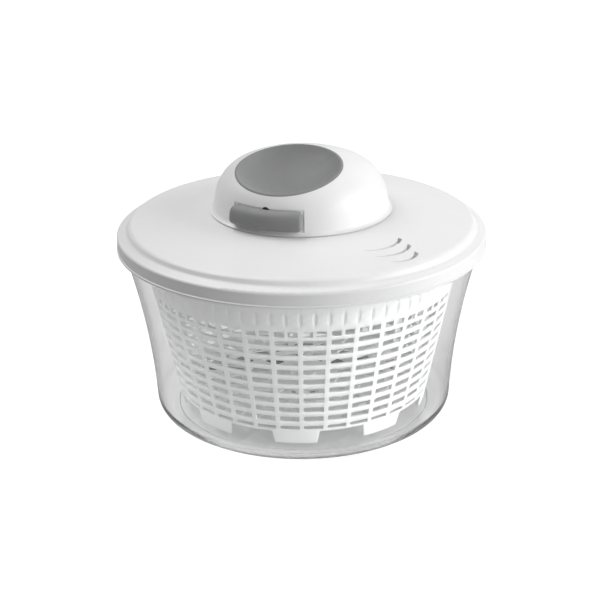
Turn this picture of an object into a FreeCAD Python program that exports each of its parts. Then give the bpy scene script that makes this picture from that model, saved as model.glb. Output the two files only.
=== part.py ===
import FreeCAD, Part
import math
import os

from FreeCAD import Vector

# A pull-cord salad spinner.  Millimetres.  The origin is the centre of the bowl's foot on the table, +Z is
# up, and the pull handle faces -Y.  Azimuths are degrees from -Y (the front) towards +X.

# Bowl: a clear flared shell that stands on a ring foot, with a pivot in the middle of its floor
bowl_height = 130.4         # table to the top of the rim
bowl_wall = 2.6
bowl_taper = 18.3           # how much wider the wall is under the rim than at the bottom corner
bowl_bulge = 3.3            # how far the wall bends in from a straight cone, at mid height
bowl_corner = 10.5          # radius of the bottom corner
foot_ring_height = 1.2
foot_ring_width = 5.0
rim_height = 8.8            # straight rim above the shoulder
rim_step = 1.8              # the rim stands out from the wall by this much
pivot_r = 4.0
pivot_base_r = 8.5
pivot_rise = 12.0           # pivot tip above the bowl's floor
pivot_straight = 6.0        # length of the straight tip
pivot_bevel = 1.0           # at the tip's edge
pivot_core_r = 2.0          # hollow inside the straight tip

# Lid
lid_r = 130.0               # overall radius, at the lip of the skirt
lid_wall = 2.4
skirt_wall = 2.2
lip = 0.5                   # the lip stands out from the skirt
lip_height = 1.6
skirt_drop = 8.2            # skirt below the flange's underside to the lip
flange_width = 5.0          # sloping flange outside the step
flange_rise = 0.8
step_width = 3.4
step_rise = 5.1
step_round = 3.2            # reach of the rounding along the step's top edge
step_crown = 0.2            # the deck's rise over that reach
step_lean = 1.1             # the step's face leans out this much
step_fillet = 1.3           # height of the hollow at the step's foot
skirt_round = 2.0           # rounding along the skirt's top edge
deck_rise = 7.0             # the deck rises this much from the step to the housing
plug_depth = 7.0            # centring ring under the lid
plug_wall = 1.8
plug_gap = 0.6
seat_gap = 0.3              # lid to rim
skirt_gap = 0.4             # skirt to rim

# Crescent vents in the lid
vent_lengths = (35.0, 32.5, 25.5)
vent_width = 3.4
vent_bow = 4.5              # how far each vent bows outwards
vent_belly = 0.1            # where it bows most, as a share of the half length past the middle
vent_taper = 0.75           # its width there, as a share of the width at the head
vent_pitch = 10.2
vent_inset = 32.1           # from the step's top edge to the innermost vent's ends
vent_azimuth = 61.0

# Grip housing: a dome with a straight tapered wall, a tight shoulder and a flat crown
dome_height = 42.6          # above the lid's deck
dome_r = 59.9               # top of the tapered wall
dome_taper = 10.0           # degrees
dome_flare = 1.75           # the foot stands out from the wall by this much
dome_foot_height = 4.4
dome_foot_edge = 1.0
dome_foot_lip = 1.4         # the foot's edge overhangs by this much
dome_shadow_gap = 0.8       # gap under the outer edge of the foot
crown_r = 115.0
shoulder_r = 30.0
dome_wall = 2.4

# Palm scoop: a spherical cup in the front of the dome
scoop_r = 34.2              # radius of its opening
scoop_depth = 13.5
scoop_offset = 18.8         # from the axis to the middle of the opening
scoop_drop = 9.3            # from the dome's top to the middle of the opening
scoop_tilt = 14.0           # degrees, towards the front
inlay_wall = 1.5
scoop_floor = 1.8           # housing under the inlay

# Pull handle
handle_bottom = 3.9         # above the deck
handle_height = 12.8
handle_span = 50.0          # degrees round the dome
handle_bulge = 6.0
handle_gap = 0.4
handle_edge = 1.0
handle_round = 2.0
pocket_depth = 0.8
pocket_margin = 0.8
back_wall = 1.6
back_inset = 1.6
knot_r = 1.8
knot_gap = 0.1


# Cord, reel and recoil spring
cord_r = 1.0
cord_height = 9.0           # cord above the deck
spool_r = 30.0
spool_wall = 2.2
reel_r = 44.0
reel_flange = 1.6
winding_height = 7.4
reel_lift = 3.2             # reel's lower flange above the deck
sleeve_wall = 2.0
bush_wall = 1.5
arbor_r = 7.0
spring_thick = 0.5
spring_width = 6.0
spring_turns = 8
spring_gap = 0.5            # spring to arbor and to spool
guide_width = 6.4
guide_height = 13.4
guide_wall = 1.1
guide_flange = 1.2
bend_gap = 0.6              # cord's bend to the guide's inner flange
guide_lift = 2.6            # guide's middle above the cord
seat_clearance = 0.1        # a part to the face that it is set into

# Axle, one-way clutch and drive
axle_r = 3.0
axle_socket = 8.5           # length held in the housing's boss
boss_r = 7.0
boss_gap = 0.4              # boss to the reel's cap
screw_post_wall = 1.0
screw_post_height = 11.0
screw_post_inset = 2.4      # post to the dome's wall
running_gap = 0.05
hub_r = 27.2
hub_flange_r = 31.5
hub_flange = 1.4
hub_floor = 2.4
hub_floor_drop = 3.6        # top of the hub's floor below the deck
hub_depth = 14.6            # below the deck to the drive wheel
bearing_wall = 2.0
bearing_flange = 1.2
bearing_length = 12.0
tooth_count = 12
tooth_root_r = 24.5
tooth_depth = 3.0
tooth_lead = 0.5            # degrees of play ahead of a pawl's tip
tooth_land = 1.0            # degrees between a tooth's tip and the next steep face
pawl_count = 3
pawl_pivot_r = 13.0
pawl_pin_r = 1.6
pawl_eye_r = 3.0
pawl_tip_r = 21.1
pawl_lead = 55.0            # degrees from the pivot to the tip, seen from the axis
pawl_thick = 4.0
pawl_drop = 0.8             # pawls below the reel
pawl_nose = 2.6
pawl_waist = 0.6            # the arm is this much narrower than the eye, each side
pawl_bevel = 1.0
clutch_gap = 0.3
washer_r = 8.0
washer_thick = 1.2
thrust_thick = 0.7
screw_r = 1.5
screw_head_r = 3.2
screw_head = 2.0
screw_length = 9.0
washer_screw_length = 8.0

# Drive wheel: an open wheel whose lugs stand between the ribs inside the basket's rim
wheel_drop = 1.0            # wheel's rim below the basket's
wheel_plate = 2.4
wheel_plate_r = 24.0
wheel_hole_r = 12.0
wheel_rim_width = 4.0
wheel_rim_height = 9.0
wheel_spokes = 6
spoke_width = 7.0
spoke_thick = 3.0
spoke_root = 3.0            # how far a spoke reaches onto the plate
wheel_weld = 1.0            # how far spokes and lugs sink into the rim
wheel_post_wall = 0.8
wheel_screw_circle = 17.0
lug_count = 12
lug_gap = 1.0               # lug to rib, each side
lug_reach_gap = 0.6         # lug tip to the basket's wall

# Basket
basket_drop = 12.0          # rim below the bowl's rim
basket_wall = 1.8
basket_top_gap = 10.1       # basket to bowl under the rim
basket_low_gap = 13.7       # basket to bowl at the bottom
basket_rim_width = 2.6
basket_rim_height = 1.8
basket_corner = 3.0
corner_inner_r = 2.1
columns = 36
bar_angle = 1.8             # degrees of solid wall between windows
row_pitch = 7.65
window_height = 4.2
small_row_drop = 22.6       # half-width windows below the rim
first_row_drop = 29.6       # first full row below the rim
short_row_height = 3.0
short_row_rise = 4.2        # short row above the basket's underside
small_bar_angle = 1.2
flute_drop = 11.5           # centre of the flutes below the rim
flute_length = 11.0
flute_half = 1.6
flute_depth = 1.2
rib_width = 1.5
rib_depth = 1.8
rib_height = 14.0
foot_count = 9
foot_height = 9.0
foot_clearance = 3.2        # feet above the bowl's floor
foot_top_angle = 21.0
foot_low_angle = 18.5
foot_azimuth = 20.4         # of the first foot
foot_tuck = 0.2             # the feet's tops end this far inside the wall's face
foot_spare = 10.0           # degrees the turned blank is wider than a foot
floor_slot_rings = ((26.0, 40.0, 12), (45.0, 60.0, 18), (65.0, 80.0, 36))
floor_slot_bar = 4.0
hub_boss_r = 9.5
pivot_skirt = 1.0           # hub and bearing end this much above the pivot's cone
thimble_wall = 2.0
phase = 3.0                 # azimuth of the basket's first bar

# Derived levels and radii
bowl_floor_z = foot_ring_height + bowl_wall
skirt_r = lid_r - lip
rim_r = skirt_r - skirt_wall - skirt_gap
bowl_top_r = rim_r - rim_step
bowl_low_r = bowl_top_r - bowl_taper
shoulder_z = bowl_height - rim_height
lid_under_z = bowl_height + seat_gap
flange_z = lid_under_z + lid_wall
step_foot_r = lid_r - flange_width
step_top_r = step_foot_r - step_width
step_top_z = flange_z + flange_rise + step_rise
deck_z = step_top_z + deck_rise
dome_top_z = deck_z + dome_height
basket_rim_z = bowl_height - basket_drop
basket_under_z = bowl_floor_z + foot_clearance + foot_height
basket_top_r = bowl_top_r - bowl_wall - basket_top_gap
basket_low_r = bowl_low_r - bowl_wall - basket_low_gap
reel_z = deck_z + reel_lift
spool_z = reel_z + reel_flange
cap_z = spool_z + winding_height
reel_top_z = cap_z + reel_flange
hub_bottom_z = deck_z - hub_depth
hub_floor_z = deck_z - hub_floor_drop - hub_floor
cord_z = deck_z + cord_height
pawl_z = reel_z - pawl_drop - pawl_thick
winding_r = spool_r + cord_r
axle_end_z = hub_floor_z - clutch_gap
boss_z = reel_top_z + boss_gap
sleeve_end_z = hub_floor_z + hub_floor + clutch_gap + thrust_thick
pivot_tip_z = bowl_floor_z + pivot_rise
column_angle = 360.0 / columns


def at(r, azimuth, z=0.0):
    """Point at radius r and height z, at an azimuth measured from the front towards +X."""
    a = math.radians(azimuth)
    return Vector(r * math.sin(a), -r * math.cos(a), z)


def turned_to(shape, azimuth):
    """Copy of a shape that was built on -Y, turned about the axis to an azimuth."""
    copy = shape.copy()
    copy.rotate(Vector(0, 0, 0), Vector(0, 0, 1), azimuth)
    return copy


def around(shape, count, start=0.0):
    """Evenly spaced copies of a shape round the axis."""
    return [turned_to(shape, start + 360.0 * i / count) for i in range(count)]


def outline(points):
    """Closed wire in the XZ plane.  A point is (r, z); an entry (r1, z1, r2, z2) is an arc through the
    first pair that ends on the second."""
    edges = []
    last = Vector(points[0][0], 0, points[0][1])
    first = last
    for entry in points[1:] + [points[0]]:
        end = Vector(entry[-2], 0, entry[-1])
        if len(entry) == 4:
            edges.append(Part.Arc(last, Vector(entry[0], 0, entry[1]), end).toShape())
        elif (end - last).Length > 1e-6:
            edges.append(Part.LineSegment(last, end).toShape())
        last = end
    if (last - first).Length > 1e-6:
        edges.append(Part.LineSegment(last, first).toShape())
    return Part.Wire(edges)


def revolved(points, angle=360.0, start=0.0):
    """Solid of revolution of an outline; a part turn is centred on azimuth 0."""
    face = Part.Face(outline(points))
    solid = face.revolve(Vector(0, 0, 0), Vector(0, 0, 1), angle)
    return turned_to(solid, start) if angle == 360.0 else turned_to(solid, start - 90.0 - angle / 2)


def disc(r, z0, z1):
    """Upright cylinder on the axis."""
    return Part.makeCylinder(r, z1 - z0, Vector(0, 0, z0))


def ring(r_in, r_out, z0, z1):
    """Flat ring on the axis."""
    return disc(r_out, z0, z1).cut(disc(r_in, z0, z1))


def post(r, z0, z1, where_r, azimuth):
    """Upright cylinder standing off the axis."""
    return Part.makeCylinder(r, z1 - z0, at(where_r, azimuth, z0))


def radial_box(width, z0, z1, r0, r1):
    """Box that reaches from radius r0 to r1 along -Y."""
    return Part.makeBox(width, r1 - r0, z1 - z0, Vector(-width / 2, -r1, z0))


def fused(shapes):
    """One solid from several that overlap or touch."""
    return shapes[0].multiFuse(shapes[1:]).removeSplitter()


# ---- bowl ----

def bowl_r(z):
    """Outer radius of the bowl's wall: a straight cone bent in by bowl_bulge at mid height."""
    low = bowl_corner + foot_ring_height / 2
    t = (z - low) / (shoulder_z - low)
    return bowl_low_r + bowl_taper * t - 4 * bowl_bulge * t * (1 - t)


def bowl():
    """Flared shell with a ring foot, a stepped rim and a hollow pivot in the middle of its floor."""
    low = bowl_corner
    mid = (low + shoulder_z) / 2
    turn = math.sqrt(0.5)
    foot_r = bowl_low_r - bowl_corner
    in_corner = bowl_corner - bowl_wall
    tip = pivot_tip_z
    straight = tip - pivot_straight
    w = bowl_wall
    shell = revolved([
        (0, foot_ring_height),
        (foot_r - foot_ring_width, foot_ring_height),
        (foot_r - foot_ring_width, 0),
        (foot_r, 0),
        (foot_r + bowl_corner * turn, bowl_corner * (1 - turn), bowl_low_r, low),
        (bowl_r(mid), mid, bowl_top_r, shoulder_z),
        (rim_r, shoulder_z + rim_step / 2),
        (rim_r, bowl_height),
        (rim_r - w, bowl_height),
        (rim_r - w, shoulder_z + rim_step),
        (bowl_top_r - w, shoulder_z),
        (bowl_r(mid) - w, mid, bowl_low_r - w, bowl_floor_z + in_corner),
        (bowl_low_r - w - in_corner * (1 - turn), bowl_floor_z + in_corner * (1 - turn),
         bowl_low_r - w - in_corner, bowl_floor_z),
        (0, bowl_floor_z)])
    pivot = revolved([
        (0, bowl_floor_z),
        (pivot_base_r, bowl_floor_z),
        (pivot_r, straight),
        (pivot_r, tip - pivot_bevel),
        (pivot_r - pivot_bevel, tip),
        (0, tip)])
    core = revolved([
        (0, foot_ring_height),
        (pivot_base_r - w, foot_ring_height),
        (pivot_core_r, straight - w),
        (0, straight - w)])
    return shell.fuse(pivot).removeSplitter().cut(core)


# ---- basket ----

def basket_r(z):
    """Outer radius of the basket's conical wall."""
    t = (z - basket_under_z) / (basket_rim_z - basket_under_z)
    return basket_low_r + t * (basket_top_r - basket_low_r)


def window(azimuth, angle, z, height):
    """Cutter for one window that spans an angle of the wall."""
    r = basket_r(z)
    width = 2 * r * math.sin(math.radians(angle / 2))
    cutter = radial_box(width, z - height / 2, z + height / 2, r - 4 * basket_wall, r + 2 * basket_wall)
    return turned_to(cutter, azimuth)


def wall_windows():
    """Full rows, the half-width row above them and the short row below."""
    cutters = []
    lowest = basket_under_z + 2 * row_pitch
    first = basket_rim_z - first_row_drop
    rows = int((first - lowest + row_pitch / 2) / row_pitch) + 1
    half = (column_angle - bar_angle - small_bar_angle) / 2
    for i in range(columns):
        azimuth = phase + column_angle * (i + 0.5)
        for side in (-1, 1):
            small = azimuth + side * (half + small_bar_angle) / 2
            cutters.append(window(small, half, basket_rim_z - small_row_drop, window_height))
        for k in range(rows):
            cutters.append(window(azimuth, column_angle - bar_angle, first - k * row_pitch, window_height))
        short = basket_under_z + short_row_rise
        cutters.append(window(azimuth, column_angle - bar_angle, short, short_row_height))
    return cutters


def flutes():
    """Spindle-shaped grooves round the top band, one above every bar and one between."""
    z = basket_rim_z - flute_drop
    lean = math.degrees(math.atan((basket_top_r - basket_low_r) / (basket_rim_z - basket_under_z)))
    half = flute_length / 2
    spindle = Part.Face(outline([(0, -half), (flute_half, 0, 0, half)])).revolve(
        Vector(0, 0, 0), Vector(0, 0, 1), 360)
    spindle.rotate(Vector(0, 0, 0), Vector(1, 0, 0), lean)
    spindle.translate(at(basket_r(z) + flute_half - flute_depth, 0, z))
    return around(spindle, 2 * columns, phase)


def floor_slots():
    """Rings of drain slots in the basket's floor."""
    cutters = []
    for r0, r1, count in floor_slot_rings:
        angle = 360.0 / count - math.degrees(floor_slot_bar / r0)
        face = [(r0, basket_under_z - basket_wall), (r1, basket_under_z - basket_wall),
                (r1, basket_under_z + 2 * basket_wall), (r0, basket_under_z + 2 * basket_wall)]
        cutters += around(revolved(face, angle), count, phase)
    return cutters


def basket_feet():
    """Tapered stretches of the wall that reach down below the floor."""
    z0 = basket_under_z - foot_height
    z1 = basket_under_z + basket_wall / 2
    r0 = basket_r(z0)
    r1 = basket_r(z1) - foot_tuck
    section = [(r0 - basket_wall, z0), (r0, z0), (r1, z1), (r1 - basket_wall, z1)]
    skirt = revolved(section, foot_top_angle + foot_spare)
    top = r1 * math.sin(math.radians(foot_top_angle / 2))
    low = r0 * math.sin(math.radians(foot_low_angle / 2))
    corners = [(-low, z0), (low, z0), (top, z1), (-top, z1)]
    wire = Part.makePolygon([Vector(x, 0, z) for x, z in corners + corners[:1]])
    prism = Part.Face(wire).extrude(Vector(0, -2 * basket_low_r, 0))
    return around(skirt.common(prism), foot_count, foot_azimuth)


def basket_ribs():
    """Upright ribs inside the top band that the drive wheel's lugs push on."""
    z1 = basket_rim_z
    z0 = z1 - rib_height
    low = basket_r(z0) - basket_wall
    top = basket_r(z1) - basket_wall
    corners = [(low - rib_depth, z0), (low + basket_wall / 2, z0), (top + basket_wall / 2, z1),
               (top - rib_depth, z1)]
    wire = Part.makePolygon([Vector(-rib_width / 2, -r, z) for r, z in corners + corners[:1]])
    rib = Part.Face(wire).extrude(Vector(rib_width, 0, 0))
    return around(rib, columns, phase)


def floor_edge_r():
    """Radius where the flat floor meets the corner that leads up to the wall."""
    return basket_r(basket_under_z + basket_corner) - basket_wall - corner_inner_r


def basket():
    """Conical wall with windows, a fluted top band, a rolled rim, a rounded bottom corner and feet."""
    z0 = basket_under_z
    z1 = basket_rim_z
    w = basket_wall
    c = basket_corner
    turn = math.sqrt(0.5)
    corner_z = z0 + c
    corner_r = basket_r(corner_z)
    inner_c = corner_inner_r
    shell = revolved([
        (floor_edge_r(), z0),
        (corner_r - c, z0),
        (corner_r - c * (1 - turn), corner_z - c * turn, corner_r, corner_z),
        (basket_r(z1 - basket_rim_height), z1 - basket_rim_height),
        (basket_top_r + basket_rim_width, z1 - basket_rim_height),
        (basket_top_r + basket_rim_width, z1),
        (basket_top_r - w, z1),
        (basket_r(z0 + w + inner_c) - w, z0 + w + inner_c),
        (corner_r - w - inner_c * (1 - turn), z0 + w + inner_c * (1 - turn), floor_edge_r(), z0 + w)])
    body = fused([shell] + basket_ribs() + basket_feet())
    return body.cut(wall_windows() + flutes())


def basket_floor():
    """Slotted floor of the same moulding, with the hub that holds the bearing over the bowl's pivot."""
    thimble_r = pivot_r + running_gap + thimble_wall
    socket_z = pivot_tip_z + thimble_wall + 2 * running_gap
    hub = disc(hub_boss_r, pivot_tip_z - pivot_straight + pivot_skirt, socket_z + 2 * basket_wall)
    socket = disc(thimble_r + running_gap, 0, socket_z)
    plate = disc(floor_edge_r(), basket_under_z, basket_under_z + basket_wall)
    return fused([plate, hub]).cut([socket] + floor_slots())


def basket_bearing():
    """Acetal thimble that stays in the basket's hub and turns on the bowl's pivot."""
    outer = pivot_r + running_gap + thimble_wall
    cap = disc(outer, pivot_tip_z - pivot_straight + pivot_skirt, pivot_tip_z + thimble_wall + running_gap)
    return cap.cut(disc(pivot_r + running_gap, 0, pivot_tip_z + running_gap))


# ---- lid ----

def vent(length, end_r, width):
    """Crescent cutter: its ends lie at end_r, it bows outwards, and it tapers to a point at the end that is
    nearer the pull handle."""
    half = math.degrees(length / 2 / end_r)
    z0 = flange_z - lid_wall
    tail = at(end_r, -half, z0)
    head = at(end_r, half, z0)
    inner_head = at(end_r - width, half, z0)
    belly = half * vent_belly
    outer = Part.Arc(tail, at(end_r + vent_bow, belly, z0), head).toShape()
    inner = Part.Arc(inner_head, at(end_r + vent_bow - width * vent_taper, belly, z0), tail).toShape()
    wire = Part.Wire([outer, Part.LineSegment(head, inner_head).toShape(), inner])
    return turned_to(Part.Face(wire).extrude(Vector(0, 0, deck_z)), vent_azimuth)


def lid_holes():
    """Vents, the bearing's bore and the holes for the housing's screws."""
    cutters = [vent(length, step_top_r - vent_inset + k * vent_pitch, vent_width)
               for k, length in enumerate(vent_lengths)]
    cutters.append(disc(hub_r + running_gap + bearing_wall, 0, dome_top_z))
    cutters += housing_posts(screw_r, 0, dome_top_z)
    return cutters


def lid():
    """Stepped cover with a skirt outside the bowl's rim, a centring ring inside it and a bearing collar."""
    w = lid_wall
    inner_skirt = skirt_r - skirt_wall
    skirt_z = lid_under_z - skirt_drop
    seat_r = dome_foot_r()
    flange_top = flange_z + flange_rise
    hollow_r = (step_top_r + step_lean + step_foot_r) / 2 - step_fillet / 4
    bend = skirt_round * (1 - math.sqrt(0.5))
    shell = revolved([
        (0, deck_z),
        (seat_r, deck_z),
        (step_top_r - step_round, step_top_z + step_crown),
        (step_top_r - step_round / 3, step_top_z - step_round / 6, step_top_r, step_top_z - step_round / 2),
        (step_top_r + step_lean, flange_top + step_fillet),
        (hollow_r, flange_top + step_fillet / 3, step_foot_r, flange_top),
        (skirt_r - skirt_round, flange_z),
        (skirt_r - bend, flange_z - bend, skirt_r, flange_z - skirt_round),
        (skirt_r, skirt_z + lip_height),
        (lid_r, skirt_z + lip_height - lip),
        (lid_r, skirt_z),
        (inner_skirt, skirt_z),
        (inner_skirt, lid_under_z),
        (step_foot_r - w, lid_under_z),
        (step_top_r - w, lid_under_z + w),
        (step_top_r - w, step_top_z - w),
        (seat_r, deck_z - w),
        (0, deck_z - w)])
    plug_r = rim_r - bowl_wall - plug_gap
    plug = ring(plug_r - plug_wall, plug_r, lid_under_z - plug_depth, lid_under_z + w / 2)
    collar_in = hub_r + running_gap + bearing_wall
    collar = disc(collar_in + w, deck_z - bearing_length, deck_z)
    return fused([shell, plug, collar]).cut(lid_holes())


def lid_bearing():
    """Flanged acetal ring in the lid's collar that the ratchet hub turns in."""
    bore = hub_r + running_gap
    sleeve = disc(bore + bearing_wall, deck_z - bearing_length, deck_z)
    flange = disc(hub_flange_r + bearing_flange, deck_z, deck_z + bearing_flange)
    return sleeve.fuse(flange).removeSplitter().cut(disc(bore, 0, dome_top_z))


# ---- grip housing ----

def dome_wall_r(z):
    """Outer radius of the tapered wall, below the shoulder."""
    taper = math.radians(dome_taper)
    shoulder_end = dome_shoulder()[1] + shoulder_r * math.sin(taper)
    return dome_r + (shoulder_end - z) * math.tan(taper)


def dome_foot_r():
    """Outer radius of the foot."""
    return dome_wall_r(deck_z) + dome_flare


def dome_shoulder():
    """Centre (r, z) of the shoulder arc, and the angle from the axis where the crown meets it."""
    centre_r = dome_r - shoulder_r * math.cos(math.radians(dome_taper))
    meet = math.asin(centre_r / (crown_r - shoulder_r))
    centre_z = dome_top_z - crown_r + (crown_r - shoulder_r) * math.cos(meet)
    return centre_r, centre_z, meet


def dome_solid(inset=0.0):
    """Everything inside the dome's surface, or inside a parallel surface further in."""
    centre_r, centre_z, meet = dome_shoulder()
    crown = crown_r - inset
    shoulder = shoulder_r - inset
    crown_z = dome_top_z - crown_r
    end = math.radians(90 - dome_taper)
    half = (meet + end) / 2
    wall_inset = inset / math.cos(math.radians(dome_taper))
    top = (crown * math.sin(meet), crown_z + crown * math.cos(meet))
    crown_mid = (crown * math.sin(meet / 2), crown_z + crown * math.cos(meet / 2))
    side_mid = (centre_r + shoulder * math.sin(half), centre_z + shoulder * math.cos(half))
    side_end = (centre_r + shoulder * math.sin(end), centre_z + shoulder * math.cos(end))
    return revolved([
        (0, deck_z),
        (dome_wall_r(deck_z) - wall_inset, deck_z),
        side_end,
        side_mid + top,
        crown_mid + (0, dome_top_z - inset)])


def scoop_ball(extra=0.0):
    """Ball whose underside is the palm scoop."""
    ball_r = (scoop_r ** 2 + scoop_depth ** 2) / (2 * scoop_depth)
    tilt = math.radians(scoop_tilt)
    up = ball_r - scoop_depth
    centre = Vector(0, -scoop_offset - up * math.sin(tilt), dome_top_z - scoop_drop + up * math.cos(tilt))
    return Part.makeSphere(ball_r + extra, centre)


def housing_posts(r, z0, z1):
    """Four upright cylinders where the housing's screws go."""
    where = dome_wall_r(deck_z) - dome_wall - screw_head_r - screw_post_inset
    return [post(r, z0, z1, where, 45 + 90 * i) for i in range(4)]


def handle_band(r_in, r_out, z0, z1, span):
    """Stretch of the dome's front that follows its taper: radii are measured from the wall."""
    return revolved([
        (dome_wall_r(z0) + r_in, z0),
        (dome_wall_r(z0) + r_out, z0),
        (dome_wall_r(z1) + r_out, z1),
        (dome_wall_r(z1) + r_in, z1)], span)


def guide_prism(inset, y0, y1):
    """Upright stadium-shaped bar along -Y, for the cord guide and its hole."""
    half = guide_width / 2 - inset
    straight = guide_height / 2 - guide_width / 2
    z = cord_z + guide_lift
    block = Part.makeBox(2 * half, y1 - y0, 2 * straight, Vector(-half, -y1, z - straight))
    ends = [Part.makeCylinder(half, y1 - y0, Vector(0, -y0, z + s * straight), Vector(0, -1, 0))
            for s in (-1, 1)]
    return fused([block] + ends)


def grip_housing():
    """Domed shell with a flared foot, a scoop floor, screw posts, an axle boss and a handle seat."""
    cavity = dome_solid(dome_wall)
    shell = dome_solid().cut(cavity)
    floor = cavity.common(scoop_ball(inlay_wall + scoop_floor))
    meet_r = dome_wall_r(deck_z + dome_foot_height)
    foot = revolved([
        (dome_wall_r(deck_z) - dome_wall, deck_z),
        (dome_foot_r() - dome_foot_lip, deck_z),
        (dome_foot_r() - dome_foot_lip, deck_z + dome_shadow_gap),
        (dome_foot_r(), deck_z + dome_shadow_gap),
        (dome_foot_r(), deck_z + dome_foot_edge),
        (meet_r + dome_flare / 2, deck_z + dome_foot_height / 2, meet_r, deck_z + dome_foot_height),
        (meet_r - dome_wall, deck_z + dome_foot_height)])
    boss = disc(boss_r, boss_z, dome_top_z)
    posts = housing_posts(screw_head_r + screw_post_wall, deck_z, deck_z + screw_post_height)
    inside = [p.common(cavity) for p in posts + [boss]]
    body = fused([shell, foot, floor] + inside)
    cutters = [scoop_ball(inlay_wall)]
    cutters.append(disc(axle_r, deck_z, boss_z + axle_socket))
    cutters += housing_posts(screw_r, deck_z, deck_z + screw_length)
    cutters.append(guide_prism(0, bore_start(), dome_foot_r() + handle_bulge))
    z0 = deck_z + handle_bottom - pocket_margin
    z1 = deck_z + handle_bottom + handle_height + pocket_margin
    margin = math.degrees(pocket_margin / dome_r)
    cutters.append(handle_band(-pocket_depth, 8, z0, z1, handle_span + 2 * margin))
    return body.cut(cutters)


def palm_inlay():
    """Soft grey skin that lines the scoop and ends flush with the dome."""
    skin = scoop_ball(inlay_wall).cut(scoop_ball())
    return skin.common(dome_solid())


def bore_start():
    """Distance in front of the axis where every bore for the cord starts, well inside the dome's wall."""
    return dome_wall_r(cord_z) - dome_wall - 4 * guide_flange


def cord_guide():
    """Stadium-shaped ring flush with the handle's seat, with a flange inside the wall."""
    inner = dome_wall_r(cord_z) - dome_wall - guide_flange
    bush = guide_prism(0, inner, dome_foot_r()).common(dome_solid(pocket_depth + seat_clearance))
    flange = guide_prism(-guide_flange, inner - guide_flange, dome_foot_r()).common(dome_solid(dome_wall))
    return bush.fuse(flange).removeSplitter().cut(guide_prism(guide_wall, bore_start(), dome_foot_r()))


def housing_screws():
    """Four pan-head screws driven up through the lid into the housing's posts."""
    shanks = housing_posts(screw_r, deck_z - lid_wall, deck_z + screw_length)
    heads = housing_posts(screw_head_r, deck_z - lid_wall - screw_head, deck_z - lid_wall)
    return Part.makeCompound([head.fuse(shank).removeSplitter() for head, shank in zip(heads, shanks)])


# ---- reel and recoil spring ----

def axle():
    """Steel pin held in the housing's boss; it carries the reel and ends under the ratchet hub's floor."""
    pin = disc(axle_r, axle_end_z, boss_z + axle_socket)
    return pin.cut(disc(screw_r, 0, axle_end_z + screw_length))


def spring_arbor():
    """Plastic sleeve fixed on the axle, where the recoil spring's inner end is held."""
    mid = (spool_z + cap_z) / 2
    half = spring_width / 2 + clutch_gap
    return ring(axle_r, arbor_r, mid - half, mid + half)


def recoil_spring():
    """Flat spiral of half turns, each a concentric pair of arcs round one of two centres."""
    r = arbor_r + spring_gap + spring_thick / 2
    last_r = spool_r - spool_wall - spring_gap - spring_thick / 2
    step = (last_r - r) / (2 * spring_turns)
    outer_edges = []
    inner_edges = []
    centre = 0.0
    side = 1
    for k in range(2 * spring_turns):
        for edges, half in ((outer_edges, spring_thick / 2), (inner_edges, -spring_thick / 2)):
            rr = r + half
            ends = [Vector(centre + s * side * rr, 0, 0) for s in (1, -1)]
            edges.append(Part.Arc(ends[0], Vector(centre, side * rr, 0), ends[1]).toShape())
        centre += side * step
        r += step
        side = -side
    caps = [Part.LineSegment(outer_edges[i].Vertexes[i].Point, inner_edges[i].Vertexes[i].Point).toShape()
            for i in (0, -1)]
    wire = Part.Wire(Part.__sortEdges__(outer_edges + inner_edges + caps))
    strip = Part.Face(wire).extrude(Vector(0, 0, spring_width))
    strip.translate(Vector(0, 0, (spool_z + cap_z - spring_width) / 2))
    return strip


def pawl_pins(r, z0, z1):
    """Upright pins under the reel, one for each pawl."""
    return [post(r, z0, z1, pawl_pivot_r, 90 - 360.0 * i / pawl_count) for i in range(pawl_count)]


def cord_reel():
    """Spool with its lower flange, a sleeve round the axle and three pawl pins underneath."""
    bush_r = axle_r + running_gap + bush_wall
    flange = disc(reel_r, reel_z, spool_z)
    core = ring(spool_r - spool_wall, spool_r, spool_z, cap_z)
    sleeve = disc(bush_r + sleeve_wall, sleeve_end_z, spool_z)
    pins = pawl_pins(pawl_pin_r, pawl_z - clutch_gap, reel_z)
    return fused([flange, core, sleeve] + pins).cut(disc(bush_r, 0, cap_z))


def reel_cap():
    """Upper flange of the reel; its spigot plugs into the spool and closes the spring's chamber."""
    plate = disc(reel_r, cap_z, reel_top_z)
    spigot = ring(spool_r - 2 * spool_wall, spool_r - spool_wall, cap_z - spring_gap, cap_z)
    return plate.fuse(spigot).removeSplitter().cut(disc(axle_r + running_gap, 0, dome_top_z))


def reel_bush():
    """Acetal bush pressed into the reel's sleeve."""
    bush_r = axle_r + running_gap + bush_wall
    return ring(axle_r + running_gap, bush_r, sleeve_end_z, spool_z)


def cord_winding():
    """Outer shape of the cord's turns on the spool."""
    return ring(spool_r, spool_r + 2 * cord_r, spool_z + seat_clearance, cap_z - seat_clearance)


# ---- one-way clutch and drive ----

def pawl(index):
    """Flat lever on a reel pin.  At rest its tip is clear of the teeth; it swings out into a space."""
    lead = math.radians(pawl_lead)
    tip = Vector(pawl_tip_r * math.cos(lead), pawl_tip_r * math.sin(lead), pawl_z)
    pivot = Vector(pawl_pivot_r, 0, pawl_z)
    along = (tip - pivot).normalize()
    across = Vector(along.y, -along.x, 0)
    points = [pivot + across * (pawl_eye_r - pawl_waist),
              tip - along * pawl_bevel,
              tip,
              tip - across * pawl_nose,
              pivot - across * (pawl_eye_r - pawl_waist)]
    arm = Part.Face(Part.makePolygon(points + points[:1])).extrude(Vector(0, 0, pawl_thick))
    eye = Part.makeCylinder(pawl_eye_r, pawl_thick, pivot)
    hole = Part.makeCylinder(pawl_pin_r + running_gap, pawl_thick, pivot)
    lever = arm.fuse(eye).removeSplitter().cut(hole)
    return turned_to(lever, -360.0 * index / pawl_count)


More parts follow.
